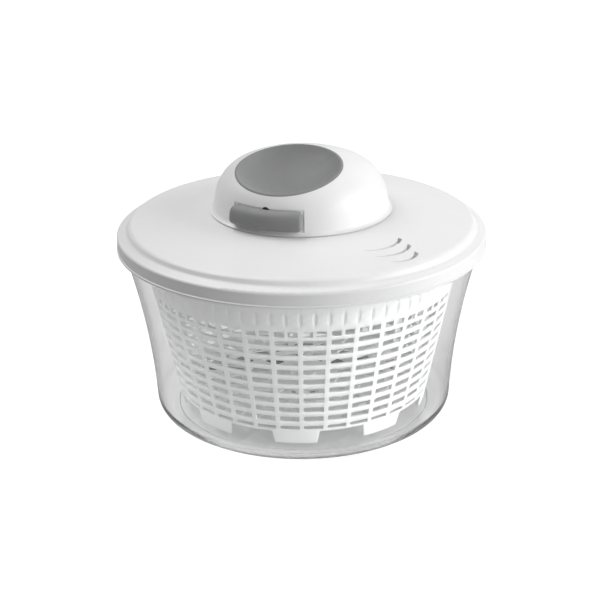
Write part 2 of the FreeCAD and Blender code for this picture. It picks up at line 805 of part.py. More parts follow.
def ratchet_bore():
    """Cutter with saw teeth: from each steep face the wall falls from the root to the tooth's tip."""
    step = 360.0 / tooth_count
    steep = pawl_lead + tooth_lead
    points = []
    for i in range(tooth_count):
        for back, r in ((0.0, tooth_root_r), (step / 2, tooth_root_r - tooth_depth / 2),
                        (step - tooth_land, tooth_root_r - tooth_depth)):
            a = math.radians(steep - i * step - back)
            points.append(Vector(r * math.cos(a), r * math.sin(a), hub_floor_z + hub_floor))
    wire = Part.makePolygon(points + points[:1])
    return Part.Face(wire).extrude(Vector(0, 0, dome_top_z))


def wheel_posts(r, z0, z1):
    """Three upright cylinders where the drive wheel's screws go."""
    return [post(r, z0, z1, wheel_screw_circle, 120 * i) for i in range(3)]


def ratchet_hub():
    """Cup with inner saw teeth that hangs on the lid's bearing and carries the drive wheel."""
    top = deck_z + bearing_flange + hub_flange
    cup = disc(hub_r, hub_bottom_z, top)
    flange = disc(hub_flange_r, deck_z + bearing_flange + seat_clearance, top)
    skirt_in = hub_r - lid_wall
    under = disc(skirt_in, hub_bottom_z, hub_floor_z)
    posts = wheel_posts(screw_head_r + wheel_post_wall, hub_bottom_z, hub_floor_z)
    body = cup.fuse(flange).removeSplitter().cut([under, ratchet_bore()])
    body = fused([body] + posts)
    bore = disc(axle_r + running_gap, 0, dome_top_z)
    return body.cut([bore] + wheel_posts(screw_r, hub_bottom_z, hub_floor_z - wheel_weld))


def thrust_washer():
    """Acetal washer between the hub's floor and the reel's sleeve."""
    z = hub_floor_z + hub_floor
    return ring(axle_r + running_gap, arbor_r, z, z + thrust_thick)


def drive_wheel():
    """Open wheel: a plate under the hub, sloping spokes and a rim with lugs between the basket's ribs."""
    rim_top = basket_rim_z - wheel_drop
    rim_low = rim_top - wheel_rim_height
    plate_low = hub_bottom_z - wheel_plate
    inside = basket_r(rim_low) - basket_wall
    rim_r1 = inside - rib_depth - lug_reach_gap
    rim_r0 = rim_r1 - wheel_rim_width
    plate = ring(wheel_hole_r, wheel_plate_r, plate_low, hub_bottom_z)
    rim = ring(rim_r0, rim_r1, rim_low, rim_top)
    root_r = wheel_plate_r - spoke_root
    end_r = rim_r0 + wheel_weld
    side = [(root_r, hub_bottom_z - spoke_thick), (root_r, hub_bottom_z),
            (end_r, rim_top), (end_r, rim_top - spoke_thick)]
    wire = Part.makePolygon([Vector(-spoke_width / 2, -r, z) for r, z in side + side[:1]])
    spoke = Part.Face(wire).extrude(Vector(spoke_width, 0, 0))
    lug_r = inside - lug_reach_gap
    rib_angle = math.degrees((rib_width + 2 * lug_gap) / inside)
    lug_root = rim_r1 - wheel_weld
    lug = revolved([(lug_root, rim_low), (lug_r, rim_low), (lug_r, rim_top), (lug_root, rim_top)],
                   column_angle - rib_angle)
    lugs = around(lug, lug_count, phase + column_angle / 2)
    body = fused([plate, rim] + around(spoke, wheel_spokes, phase) + lugs)
    return body.cut(wheel_posts(screw_r, 0, deck_z))


def drive_screws():
    """Three screws that hold the drive wheel to the hub's posts."""
    low = hub_bottom_z - wheel_plate
    shanks = wheel_posts(screw_r, low, low + screw_length)
    heads = wheel_posts(screw_head_r, low - screw_head, low)
    return Part.makeCompound([head.fuse(shank).removeSplitter() for head, shank in zip(heads, shanks)])


def retaining_washer():
    """Washer on the axle's end, under the hub's floor."""
    return ring(screw_r, washer_r, axle_end_z - washer_thick, axle_end_z)


def retaining_screw():
    """Screw in the axle's end that holds the washer."""
    z = axle_end_z - washer_thick
    head = disc(screw_head_r, z - screw_head, z)
    return head.fuse(disc(screw_r, z, z + washer_screw_length)).removeSplitter()


# ---- handle and cord ----

def handle_solid():
    """Bar with a D-shaped section that follows the dome's wall."""
    z0 = deck_z + handle_bottom
    z1 = z0 + handle_height
    back = handle_gap - pocket_depth
    edge = handle_edge
    mid_z = (z0 + z1) / 2
    bar = revolved([
        (dome_wall_r(z0) + back, z0),
        (dome_wall_r(z0) + back + edge, z0),
        (dome_wall_r(mid_z) + handle_bulge, mid_z, dome_wall_r(z1) + back + edge, z1),
        (dome_wall_r(z1) + back, z1)], handle_span)
    ends = [e for e in bar.Edges if abs(math.degrees(math.atan2(
        e.CenterOfMass.x, -e.CenterOfMass.y))) > handle_span / 2 - 0.5 and e.CenterOfMass.Length > 0]
    outer = [e for e in ends if e.Length > handle_height and e.Curve.TypeId == "Part::GeomCircle"]
    return bar.makeFillet(handle_round, outer)


def handle_back_plate():
    """Space that the handle's back plate fills."""
    z0 = deck_z + handle_bottom + back_inset
    z1 = deck_z + handle_bottom + handle_height - back_inset
    back = handle_gap - pocket_depth
    span = handle_span - 2 * math.degrees(back_inset / dome_r)
    return handle_band(back, back + back_wall, z0, z1, span)


def knot_centre():
    """Middle of the knot, just in front of the handle's back plate."""
    wall = dome_wall_r(cord_z) + handle_gap - pocket_depth + back_wall
    return Vector(0, -wall - knot_r, cord_z)


def cord_bar(r, y0, y1):
    """Cylinder along -Y at the cord's height."""
    return Part.makeCylinder(r, y1 - y0, Vector(0, -y0, cord_z), Vector(0, -1, 0))


def pull_handle():
    """Front of the handle, hollowed for the back plate and the knot."""
    pocket = Part.makeSphere(knot_r + knot_gap, knot_centre())
    mouth = cord_bar(knot_r + knot_gap, bore_start(), -knot_centre().y)
    return handle_solid().cut([handle_back_plate(), pocket, mouth])


def handle_back():
    """Plate that closes the handle behind the knot."""
    return handle_back_plate().cut(cord_bar(cord_r + knot_gap, bore_start(), -knot_centre().y))


def cord_knot():
    """Knot that stops the cord in the handle."""
    return Part.makeSphere(knot_r, knot_centre())


def pull_cord():
    """Cord from the guide to the knot."""
    start = dome_wall_r(cord_z) - dome_wall - 2 * guide_flange
    return cord_bar(cord_r, start, -knot_centre().y).cut(cord_knot())


def cord_inner_run():
    """Straight stretch of cord from beside the winding to the guide, tangent to the turns on the reel."""
    bend_y = -(dome_wall_r(cord_z) - dome_wall - 2 * guide_flange - cord_r - bend_gap)
    reach = -bend_y
    away = math.acos(winding_r / reach)
    angle = -math.pi / 2 - away
    tangent = Vector(winding_r * math.cos(angle), winding_r * math.sin(angle), cord_z)
    bend = Vector(0, bend_y, cord_z)
    along = (tangent - bend).normalize()
    clear = math.sqrt((spool_r + 3 * cord_r + clutch_gap) ** 2 - winding_r ** 2)
    length = (tangent - bend).Length - clear
    return Part.makeCylinder(cord_r, length, bend, along)


nodes = {
    "bowl": bowl,
    "basket": basket,
    "basket_floor": basket_floor,
    "basket_bearing": basket_bearing,
    "lid": lid,
    "lid_bearing": lid_bearing,
    "grip_housing": grip_housing,
    "palm_inlay": palm_inlay,
    "cord_guide": cord_guide,
    "housing_screws": housing_screws,
    "axle": axle,
    "spring_arbor": spring_arbor,
    "recoil_spring": recoil_spring,
    "cord_reel": cord_reel,
    "reel_cap": reel_cap,
    "reel_bush": reel_bush,
    "cord_winding": cord_winding,
    "ratchet_hub": ratchet_hub,
    "thrust_washer": thrust_washer,
    "drive_wheel": drive_wheel,
    "drive_screws": drive_screws,
    "retaining_washer": retaining_washer,
    "retaining_screw": retaining_screw,
    "pull_handle": pull_handle,
    "handle_back": handle_back,
    "cord_knot": cord_knot,
    "pull_cord": pull_cord,
    "cord_inner_run": cord_inner_run,
}

os.makedirs("parts", exist_ok=True)
for name, make in nodes.items():
    make().exportStep("parts/" + name + ".step")
for i in range(pawl_count):
    pawl(i).exportStep("parts/pawl_%d.step" % (i + 1))
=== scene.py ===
import math

import bmesh
import bpy
import numpy as np
from mathutils import Matrix, Vector


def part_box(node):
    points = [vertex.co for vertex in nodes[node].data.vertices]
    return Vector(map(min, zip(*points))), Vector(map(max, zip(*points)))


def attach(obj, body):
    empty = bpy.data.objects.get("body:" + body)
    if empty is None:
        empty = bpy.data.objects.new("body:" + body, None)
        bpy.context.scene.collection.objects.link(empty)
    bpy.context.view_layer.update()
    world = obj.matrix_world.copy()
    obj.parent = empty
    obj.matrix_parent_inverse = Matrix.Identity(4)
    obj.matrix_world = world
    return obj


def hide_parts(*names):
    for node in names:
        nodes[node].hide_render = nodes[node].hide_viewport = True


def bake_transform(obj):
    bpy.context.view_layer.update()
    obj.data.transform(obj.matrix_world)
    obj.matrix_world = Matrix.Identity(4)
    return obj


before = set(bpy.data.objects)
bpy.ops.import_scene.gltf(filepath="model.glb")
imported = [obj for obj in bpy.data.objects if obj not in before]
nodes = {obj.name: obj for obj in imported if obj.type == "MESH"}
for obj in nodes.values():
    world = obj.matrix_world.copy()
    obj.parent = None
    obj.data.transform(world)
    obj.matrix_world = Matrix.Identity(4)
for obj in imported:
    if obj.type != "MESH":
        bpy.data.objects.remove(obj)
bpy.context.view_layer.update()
scene = bpy.context.scene
MM = 0.001


# ---- studio ----
# The spinner stands on a plain pale floor.  One soft lamp hangs high on its left and a stronger one stands
# low on its right.  The sky is dark low on the left and brighter low on the right, as from two cards.  Only
# the camera's own rays find it white, and the floor lit up to meet it.  For the light that it bounces, the
# floor is painted darker on its left: painted shade.

def linear(code, alpha=1.0):
    """Turns an sRGB hex colour into the linear values that shader sockets take."""
    rgb = [int(code[i:i + 2], 16) / 255 for i in (1, 3, 5)]
    return [c / 12.92 if c < 0.04045 else ((c + 0.055) / 1.055) ** 2.4 for c in rgb] + [alpha]


def add(tree, kind, sockets=None, **settings):
    """Adds one shader node.  A socket takes a value or, to be linked, another node's output."""
    made = tree.nodes.new("ShaderNode" + kind)
    for key, value in settings.items():
        setattr(made, key, value)
    for key, value in (sockets or {}).items():
        if isinstance(value, bpy.types.NodeSocket):
            tree.links.new(value, made.inputs[key])
        else:
            made.inputs[key].default_value = value
    return made


# the camera was fitted to the ellipses of the lid and the bowl, at a stand-off that was chosen
VIEW_AZIMUTH = math.radians(24.0)
STAND_OFF = 1.0
RISE = math.radians(19.106)
PITCH = math.radians(22.143)
ROLL = math.radians(-0.729)
ASIDE = -1.686 * MM
SHOULDER_ABOVE_RIM = 2.7 * MM
lid_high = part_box("lid")[1]
bowl_low, bowl_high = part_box("bowl")
DARK_CARD = 0.05            # low sky on the left
PALE_CARD = 0.55            # low sky on the right
ROOF = 0.3                  # high sky
MIRRORED = 0.35             # added where the sky is seen in a polished face
BACK_EDGE = 0.9             # sky seen through the clear bowl, away from straight ahead
FLOOR_GLOW = 0.72           # lifts the floor to white in the view
FLOOR_GLOW_THROUGH = 0.3    # and less where it is seen through the bowl
LAMPS = (("high_lamp", 1.85, 50, (-0.52, 0.2, 0.82)),
         ("side_lamp", 2.9, 50, (0.93, -0.3, 0.2)))
to_right = (math.cos(VIEW_AZIMUTH), math.sin(VIEW_AZIMUTH), 0)
straight_on = (-math.sin(VIEW_AZIMUTH), math.cos(VIEW_AZIMUTH), 0)

camera = bpy.data.objects.new("camera", bpy.data.cameras.new("camera"))
scene.collection.objects.link(camera)
scene.camera = camera
camera.data.sensor_width = 36.0
camera.data.lens = 84.95
camera.data.clip_end = 50.0
eye_z = STAND_OFF * math.sin(RISE) + bowl_high.z + SHOULDER_ABOVE_RIM
eye = Vector((ASIDE, -STAND_OFF * math.cos(RISE), eye_z))
look = Vector((0, math.cos(PITCH), -math.sin(PITCH)))
level = Vector((1, 0, 0))
above = level.cross(look)
right = level * math.cos(ROLL) + above * math.sin(ROLL)
up = above * math.cos(ROLL) - level * math.sin(ROLL)
aim = Matrix((right, up, -look)).transposed().to_4x4()
camera.matrix_world = Matrix.Rotation(VIEW_AZIMUTH, 4, "Z") @ Matrix.Translation(eye) @ aim

scene.view_settings.view_transform = "Standard"
world = bpy.data.worlds.new("studio")
scene.world = world
world.use_nodes = True
sky = world.node_tree
sky.nodes.clear()
place = add(sky, "TexCoord")
across = add(sky, "VectorMath", {0: place.outputs["Generated"], 1: to_right}, operation="DOT_PRODUCT")
cards = add(sky, "MapRange", {"Value": across.outputs["Value"], "From Min": -0.6, "From Max": 0.6,
                              "To Min": DARK_CARD, "To Max": PALE_CARD}, interpolation_type="SMOOTHSTEP")
height = add(sky, "SeparateXYZ", {0: place.outputs["Generated"]})
low = add(sky, "MapRange", {"Value": height.outputs["Z"], "From Min": 0.3, "From Max": 0.7, "To Min": 0.0,
                            "To Max": 1.0}, interpolation_type="SMOOTHSTEP")
ceiling = add(sky, "Mix", {"Factor": low.outputs["Result"], "A": cards.outputs["Result"], "B": ROOF})
ray = add(sky, "LightPath")
ahead = add(sky, "VectorMath", {0: place.outputs["Generated"], 1: straight_on}, operation="DOT_PRODUCT")
behind = add(sky, "MapRange", {"Value": ahead.outputs["Value"], "From Min": 0.4, "From Max": 0.85,
                               "To Min": BACK_EDGE, "To Max": 1.0})
mirrored = add(sky, "Math", {0: ray.outputs["Is Glossy Ray"], 1: MIRRORED, 2: ceiling.outputs["Result"]},
               operation="MULTIPLY_ADD")
backdrop = add(sky, "Mix", {"Factor": ray.outputs["Is Transmission Ray"], "A": mirrored.outputs[0],
                            "B": behind.outputs["Result"]})
backdrop = add(sky, "Mix", {"Factor": ray.outputs["Is Camera Ray"], "A": backdrop.outputs["Result"],
                            "B": 1.0})
glow = add(sky, "Background", {"Color": (1, 1, 1, 1), "Strength": backdrop.outputs["Result"]})
add(sky, "OutputWorld", {"Surface": glow.outputs["Background"]})

for label, energy, spread, toward in LAMPS:
    lamp = bpy.data.objects.new(label, bpy.data.lights.new(label, "SUN"))
    scene.collection.objects.link(lamp)
    lamp.data.energy = energy
    lamp.data.angle = math.radians(spread)
    aimed = Matrix.Rotation(VIEW_AZIMUTH, 3, "Z") @ Vector(toward)
    lamp.rotation_euler = aimed.to_track_quat("Z", "Y").to_euler()

bpy.ops.mesh.primitive_plane_add(size=40.0, location=(0, 0, bowl_low.z))
floor = bpy.context.object
floor.name = "floor"
pale = bpy.data.materials.new("pale_floor")
pale.use_nodes = True
tree = pale.node_tree
tree.nodes.clear()
ray = add(tree, "LightPath")
seen = add(tree, "Math", {0: 1.0, 1: ray.outputs["Is Diffuse Ray"]}, operation="SUBTRACT")
spot = add(tree, "TexCoord").outputs["Object"]
# for the light it bounces, the floor is painted dark on its left and pale on its right: painted shade and
# light, as from a dark and a pale side of the studio
aside = add(tree, "VectorMath", {0: spot, 1: to_right}, operation="DOT_PRODUCT")
painted_floor_shade = add(tree, "MapRange", {"Value": aside.outputs["Value"], "From Min": -0.25, "From Max": 0.2})
painted_floor_shade = add(tree, "Mix", {0: painted_floor_shade.outputs["Result"], 6: linear("#484848"), 7: linear("#E4E4E4")},
           data_type="RGBA")
tone = add(tree, "Mix", {0: seen.outputs[0], 6: painted_floor_shade.outputs[2], 7: linear("#B0B0B0")}, data_type="RGBA")
through = add(tree, "Math", {0: ray.outputs["Is Transmission Ray"], 1: FLOOR_GLOW_THROUGH},
              operation="MULTIPLY")
lift = add(tree, "Math", {0: ray.outputs["Is Camera Ray"], 1: FLOOR_GLOW, 2: through.outputs[0]},
           operation="MULTIPLY_ADD")
matt = add(tree, "BsdfPrincipled", {"Base Color": tone.outputs[2], "Roughness": 0.35,
                                    "Emission Color": (1, 1, 1, 1), "Emission Strength": lift.outputs[0]})
add(tree, "OutputMaterial", {"Surface": matt.outputs["BSDF"]})
floor.data.materials.append(pale)


# ---- bowl ----
# The outer bowl is one injection moulding in clear styrene acrylonitrile: a flared wall on a ring foot, a
# straight rim above a small shoulder, and a hollow pivot amid the floor that the basket turns on.

def rounded(corners, steps=5):
    """Closed outline from corners (r, z, reach).  Each corner is a parabola that starts and ends at its
    reach along the two edges: (1-t)^2 A + 2t(1-t) C + t^2 B.  A reach is at most 0.45 of an edge."""
    c = np.array([p[:2] for p in corners], float)
    reach = np.array([p[2] for p in corners], float)[:, None]
    back = np.roll(c, 1, 0) - c
    on = np.roll(c, -1, 0) - c
    long_back = np.linalg.norm(back, axis=1, keepdims=True)
    long_on = np.linalg.norm(on, axis=1, keepdims=True)
    reach = np.minimum(reach, 0.45 * np.minimum(long_back, long_on))
    a = (c + back / long_back * reach)[:, None]
    b = (c + on / long_on * reach)[:, None]
    t = np.linspace(0, 1, steps)[None, :, None]
    line = ((1 - t) ** 2 * a + 2 * t * (1 - t) * c[:, None] + t ** 2 * b).reshape(-1, 2)
    keep = np.linalg.norm(line - np.roll(line, 1, 0), axis=1) > 1e-4
    return line[keep]


CREASE = math.radians(35)   # an edge that turns more than this stays sharp in the shading


def surface(name, grid, material, body, around=True, closed=True, keep=None):
    """Mesh of a grid of points (rows, columns, 3) in millimetres.  Neighbours are joined into quads, the
    last row to the first if around, the last column to the first if closed, where keep is true.  Doubled
    points, as at a pole, are merged, and the faces are turned outwards."""
    rows, columns = grid.shape[:2]
    index = np.arange(rows * columns).reshape(rows, columns)
    i = np.arange(rows if around else rows - 1)
    j = np.arange(columns if closed else columns - 1)
    i, j = np.meshgrid(i, j, indexing="ij")
    i_on = (i + 1) % rows
    j_on = (j + 1) % columns
    quads = np.stack([index[i, j], index[i_on, j], index[i_on, j_on], index[i, j_on]], -1)
    quads = quads[keep] if keep is not None else quads.reshape(-1, 4)
    mesh = bpy.data.meshes.new(name)
    mesh.from_pydata((grid.reshape(-1, 3) * MM).tolist(), [], quads.tolist())
    work = bmesh.new()
    work.from_mesh(mesh)
    bmesh.ops.remove_doubles(work, verts=work.verts, dist=1e-6)
    loose = [v for v in work.verts if not v.link_faces]
    bmesh.ops.delete(work, geom=loose, context="VERTS")
    bmesh.ops.recalc_face_normals(work, faces=work.faces)
    work.to_mesh(mesh)
    work.free()
    mesh.polygons.foreach_set("use_smooth", np.ones(len(mesh.polygons), bool))
    mesh.set_sharp_from_angle(angle=CREASE)
    piece = bpy.data.objects.new(name, mesh)
    scene.collection.objects.link(piece)
    mesh.materials.append(material)
    if body:
        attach(piece, body)
    return piece


def lathe(line, azimuths):
    """Grid of an outline (r, z) turned about Z: a point is (r sin a, -r cos a, z), with a measured from the
    front towards +X."""
    a = np.radians(azimuths)[:, None]
    r, z = line[None, :, 0], line[None, :, 1]
    return np.stack([r * np.sin(a), -r * np.cos(a), z + 0 * a], -1)


def finish(name, **sockets):
    """New material with one Principled shader, and its texture coordinates on the object."""
    made = bpy.data.materials.new(name)
    made.use_nodes = True
    made.node_tree.nodes.clear()
    shader = add(made.node_tree, "BsdfPrincipled", {k.replace("_", " "): v for k, v in sockets.items()})
    add(made.node_tree, "OutputMaterial", {"Surface": shader.outputs["BSDF"]})
    spot = add(made.node_tree, "TexCoord").outputs["Object"]
    return made, made.node_tree, shader, spot


def grained(made, spot, shader, dark, pale, patch, rough, grain, depth):
    """Gives a moulding its slow drift between two colours over patch mm, a roughness that wanders between
    two values, and the fine grain of its mould: bumps grain mm apart and depth mm deep."""
    drift = add(made, "TexNoise", {"Vector": spot, "Scale": 1 / (patch * MM), "Detail": 3.0})
    colour = add(made, "Mix", {0: drift.outputs["Fac"], 6: linear(dark), 7: linear(pale)}, data_type="RGBA")
    wander = add(made, "TexNoise", {"Vector": spot, "Scale": 5 / (patch * MM), "Detail": 4.0})
    rub = add(made, "MapRange", {"Value": wander.outputs["Fac"], "From Min": 0.3, "From Max": 0.7,
                                 "To Min": rough[0], "To Max": rough[1]})
    tooth = add(made, "TexNoise", {"Vector": spot, "Scale": 1 / (grain * MM), "Detail": 2.0})
    bump = add(made, "Bump", {"Height": tooth.outputs["Fac"], "Distance": depth * MM, "Strength": 1.0})
    made.links.new(colour.outputs[2], shader.inputs["Base Color"])
    made.links.new(rub.outputs["Result"], shader.inputs["Roughness"])
    made.links.new(bump.outputs["Normal"], shader.inputs["Normal"])


bowl_wall = 2.6
foot_ring_height = 1.2
foot_ring_width = 5.0
bowl_corner = 10.5          # radius between the foot and the wall
rim_height = 8.8            # straight rim above the shoulder
rim_step = 1.8              # the rim stands out from the wall by this much
bowl_taper = 18.3           # the wall leans out this much from foot to shoulder
bowl_bulge = 3.3            # and hollows in by this much midway
pivot_r = 4.0
pivot_base_r = 8.5
pivot_rise = 12.0           # tip above the floor
pivot_straight = 6.0        # length of the straight tip
pivot_bore_r = 2.0
edge_round = 0.9

# clear SAN from a polished mould: colourless and glossy, with a faint ripple where the melt flowed
clear_san, tree, shader, spot = finish("clear_moulded_san", Base_Color=linear("#FDFDFD"), Roughness=0.02,
                                       IOR=1.52, Transmission_Weight=0.97)
flow = add(tree, "TexNoise", {"Vector": spot, "Scale": 1 / (18 * MM), "Detail": 2.0})
ripple = add(tree, "Bump", {"Height": flow.outputs["Fac"], "Distance": 0.02 * MM, "Strength": 0.5})
tree.links.new(ripple.outputs["Normal"], shader.inputs["Normal"])
# a clear wall barely shades what stands in it, so shadow rays pass straight through
ray = add(tree, "LightPath")
through = add(tree, "BsdfTransparent", {"Color": linear("#FAFBFB")})
pane = add(tree, "MixShader", {0: ray.outputs["Is Shadow Ray"], 1: shader.outputs["BSDF"],
                               2: through.outputs["BSDF"]})
tree.links.new(pane.outputs["Shader"], tree.nodes["Material Output"].inputs["Surface"])

bowl_rim_r = bowl_high.x / MM
bowl_rim_z = bowl_high.z / MM
bowl_top_r = bowl_rim_r - rim_step
bowl_low_r = bowl_top_r - bowl_taper
bowl_shoulder_z = bowl_rim_z - rim_height
bowl_floor_z = foot_ring_height + bowl_wall
t = np.linspace(0, 1, 25)
wall_z = bowl_corner + (bowl_shoulder_z - bowl_corner) * t
wall_r = bowl_low_r + bowl_taper * t - 4 * bowl_bulge * t * (1 - t)
bend = np.linspace(0, math.pi / 2, 10)[1:-1]
foot_r = bowl_low_r - bowl_corner
inner_corner = bowl_corner - bowl_wall
tip_z = bowl_floor_z + pivot_rise
straight_z = tip_z - pivot_straight
w = bowl_wall
under = [(pivot_bore_r, straight_z - w, 0.3), (pivot_base_r - w, foot_ring_height, 0.5),
         (foot_r - foot_ring_width, foot_ring_height, 0.4), (foot_r - foot_ring_width, 0, 0.8),
         (foot_r, 0, 2.5)]
outside = [(foot_r + bowl_corner * math.sin(a), bowl_corner * (1 - math.cos(a)), 0) for a in bend]
outside += [(r, z, 0) for r, z in zip(wall_r, wall_z)]
rim = [(bowl_rim_r, bowl_shoulder_z + rim_step / 2, edge_round), (bowl_rim_r, bowl_rim_z, edge_round),
       (bowl_rim_r - w, bowl_rim_z, edge_round), (bowl_rim_r - w, bowl_shoulder_z + rim_step, edge_round)]
inside = [(r - w, max(z, bowl_floor_z + inner_corner), 0) for r, z in zip(wall_r[::-1], wall_z[::-1])]
inside += [(bowl_low_r - w - inner_corner * (1 - math.cos(a)),
            bowl_floor_z + inner_corner * (1 - math.sin(a)), 0) for a in bend]
pivot = [(pivot_base_r, bowl_floor_z, 1.2), (pivot_r, straight_z, 0.8), (pivot_r, tip_z, 1.0)]
shell = rounded(under + outside + rim + inside + pivot)
first = np.array([[0, straight_z - w]])
last = np.array([[0, tip_z]])
whole_turn = np.arange(0, 360, 1.875)
bowl_line = np.vstack([first, shell, last])
bowl = surface("clear_bowl", lathe(bowl_line, whole_turn), clear_san, "bowl", closed=False)
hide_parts("bowl")


# ---- basket bearing ----
# A thimble of natural acetal stays in the basket's hub and turns on the bowl's pivot.  Acetal is milky and
# a little waxy, with a fine satin skin from the mould.

acetal, tree, shader, spot = finish("natural_acetal", IOR=1.48)
grained(tree, spot, shader, "#DEDBD0", "#EAE8DF", 12.0, (0.28, 0.42), 0.5, 0.01)


def dress(material, *names):
    """Gives CAD nodes their material."""
    for name in names:
        nodes[name].data.materials.clear()
        nodes[name].data.materials.append(material)


dress(acetal, "basket_bearing")


# ---- basket ----
# The basket is one moulding in white polypropylene: a conical wall of windows, a band of spindle-shaped
# flutes under a turned-out rim, ribs inside that band for the drive wheel, nine feet and a slotted floor.

basket_wall = 1.8
basket_slope_r = 21.9       # the wall leans out this much from floor to rim
rim_width = 2.6             # rim outside the wall
rim_thick = 1.8
corner_r = 3.0              # between the floor and the wall
floor_gap = 0.05
columns = 36
first_bar = 3.0             # azimuth of the first upright bar
bar_half = 0.9              # degrees
small_bar_half = 0.6        # degrees, for the bars between in the top row
row_pitch = 7.65
window_height = 4.2
small_row_drop = 22.6       # top row's middle below the rim
first_row_drop = 29.6       # next row's middle below the rim
rows = 9
short_row_height = 3.0
short_row_rise = 4.2        # lowest row's middle above the floor's underside
flute_drop = 11.5           # flutes' middle below the rim
flute_half_length = 5.5
flute_r = 1.6
flute_depth = 1.2
flute_taper = 1.25          # the spindle's half length over the flute's
flute_stop = 1.1            # no dent further out than this times the half length
rib_width = 1.5
rib_depth = 1.8
rib_height = 14.0
foot_count = 9
foot_height = 9.0
foot_clear = 0.1            # between a foot and the lowest windows
foot_edge_soft = 0.45
foot_azimuth = 20.4         # of the first foot
foot_top_half = 10.5        # degrees
foot_low_half = 9.25        # degrees
flush = 0.03                # the feet stand proud of the wall by this much
edge_soft = 0.3

# white PP from a fine-blasted mould: satin, with a grain that only shows as softness; the basket's copy is
# painted whiter than the lid's, as painted light
white_pp, tree, shader, spot = finish("moulded_white_polypropylene", IOR=1.49)
grained(tree, spot, shader, "#E6E7E7", "#EDEDEC", 35.0, (0.30, 0.42), 0.6, 0.008)
# the same white PP painted brighter for the basket: painted light, making up for the light it gets only
# through the bowl and under the lid
basket_pp_painted_brighter, tree, shader, spot = finish("white_polypropylene_painted_brighter", IOR=1.49)
grained(tree, spot, shader, "#F9FAFA", "#FDFDFD", 35.0, (0.30, 0.42), 0.6, 0.008)


def soften(piece, width, thickness=None, segments=2):
    """Gives a sheet its wall inwards, if it has one to get, and rounds the edges by width mm."""
    if thickness:
        wall = piece.modifiers.new("wall", "SOLIDIFY")
        wall.thickness = thickness * MM
        wall.offset = -1
    edge = piece.modifiers.new("edges", "BEVEL")
    edge.width = width * MM
    edge.segments = segments
    edge.angle_limit = math.radians(40)
    edge.harden_normals = False


basket_top_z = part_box("basket")[1].z / MM
basket_top_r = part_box("basket")[1].x / MM - rim_width
basket_low_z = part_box("basket")[0].z / MM + foot_height
basket_low_r = basket_top_r - basket_slope_r


def cone_r(z):
    """Outer radius of the basket's wall: a straight cone."""
    return basket_low_r + (z - basket_low_z) * basket_slope_r / (basket_top_z - basket_low_z)


knee_z = basket_low_z + corner_r
flute_z = basket_top_z - flute_drop
window_rows = [(basket_low_z + short_row_rise, short_row_height, False)]
window_rows += [(basket_top_z - first_row_drop - k * row_pitch, window_height, False) for k in range(rows)]
window_rows += [(basket_top_z - small_row_drop, window_height, True)]
levels = [z + s * h / 2 for z, h, _ in window_rows for s in (-1, 1)]
levels += [flute_z + flute_half_length * s for s in (-1.0, -0.85, -0.6, -0.3, 0, 0.3, 0.6, 0.85, 1.0)]
levels += [basket_top_z - rim_thick / 2]
levels = np.array(sorted(levels))
turn_in = np.radians([90, 72, 54, 36, 18])
knee_r = cone_r(knee_z) - corner_r
knee = np.stack([knee_r + corner_r * np.cos(turn_in), knee_z - corner_r * np.sin(turn_in)], -1)
floor_edge = np.array([[knee_r - basket_wall / 2 + floor_gap, basket_low_z]])
round_r = knee_r + np.sqrt(np.maximum(corner_r ** 2 - (knee_z - levels) ** 2, 0))
upright = np.stack([np.where(levels < knee_z, round_r, cone_r(levels)), levels], -1)
side = np.vstack([floor_edge, knee, upright])
step = 360.0 / columns
cuts = np.array([-bar_half, -0.5, 0, 0.5, bar_half, step / 4, step / 2 - bar_half,
                 step / 2 - small_bar_half, step / 2, step / 2 + small_bar_half, step / 2 + bar_half,
                 3 * step / 4])
azimuths = (first_bar + step * np.arange(columns)[:, None] + cuts[None, :]).ravel()
grid = lathe(side, azimuths)

# a flute is the dent of a spindle laid against the wall: sqrt(rho^2 - x^2) less the spindle's stand-off
to_flute = (azimuths - first_bar + step / 4) % (step / 2) - step / 4
across_r = np.radians(to_flute)[:, None] * side[None, :, 0]
rho = flute_r * (1 - ((side[None, :, 1] - flute_z) / (flute_half_length * flute_taper)) ** 2)
dent = np.sqrt(np.maximum(rho ** 2 - across_r ** 2, 0)) - (flute_r - flute_depth)
in_band = np.abs(side[None, :, 1] - flute_z) < flute_half_length * flute_stop
dent = np.where(in_band, np.maximum(dent, 0), 0)
shrink = 1 - dent / side[None, :, 0]
grid[..., 0] *= shrink
grid[..., 1] *= shrink

middle_z = (side[:-1, 1] + side[1:, 1]) / 2
middle_a = (azimuths + np.roll(azimuths, -1)) / 2
middle_a[-1] = azimuths[-1] + (360 + azimuths[0] - azimuths[-1]) / 2
off_bar = np.abs((middle_a - first_bar + step / 2) % step - step / 2)[:, None]
keep = np.ones((len(azimuths), len(side) - 1), bool)
for z, high, small in window_rows:
    in_row = (np.abs(middle_z - z) < high / 2)[None, :]
    clear_of_bars = off_bar > bar_half
    if small:
        clear_of_bars = clear_of_bars & (off_bar < step / 2 - small_bar_half)
    keep &= ~(in_row & clear_of_bars)
wall = surface("basket_wall", grid, basket_pp_painted_brighter, "basket", closed=False, keep=keep)
soften(wall, edge_soft, basket_wall, 1)
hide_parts("basket")

lip = rounded([(basket_top_r - basket_wall, basket_top_z, 0.6),
               (basket_top_r - basket_wall, basket_top_z - rim_thick, 0.4),
               (basket_top_r + rim_width, basket_top_z - rim_thick, 0.6),
               (basket_top_r + rim_width, basket_top_z, 0.8)])
basket_rim = surface("basket_rim", lathe(lip, whole_turn), basket_pp_painted_brighter, "basket")

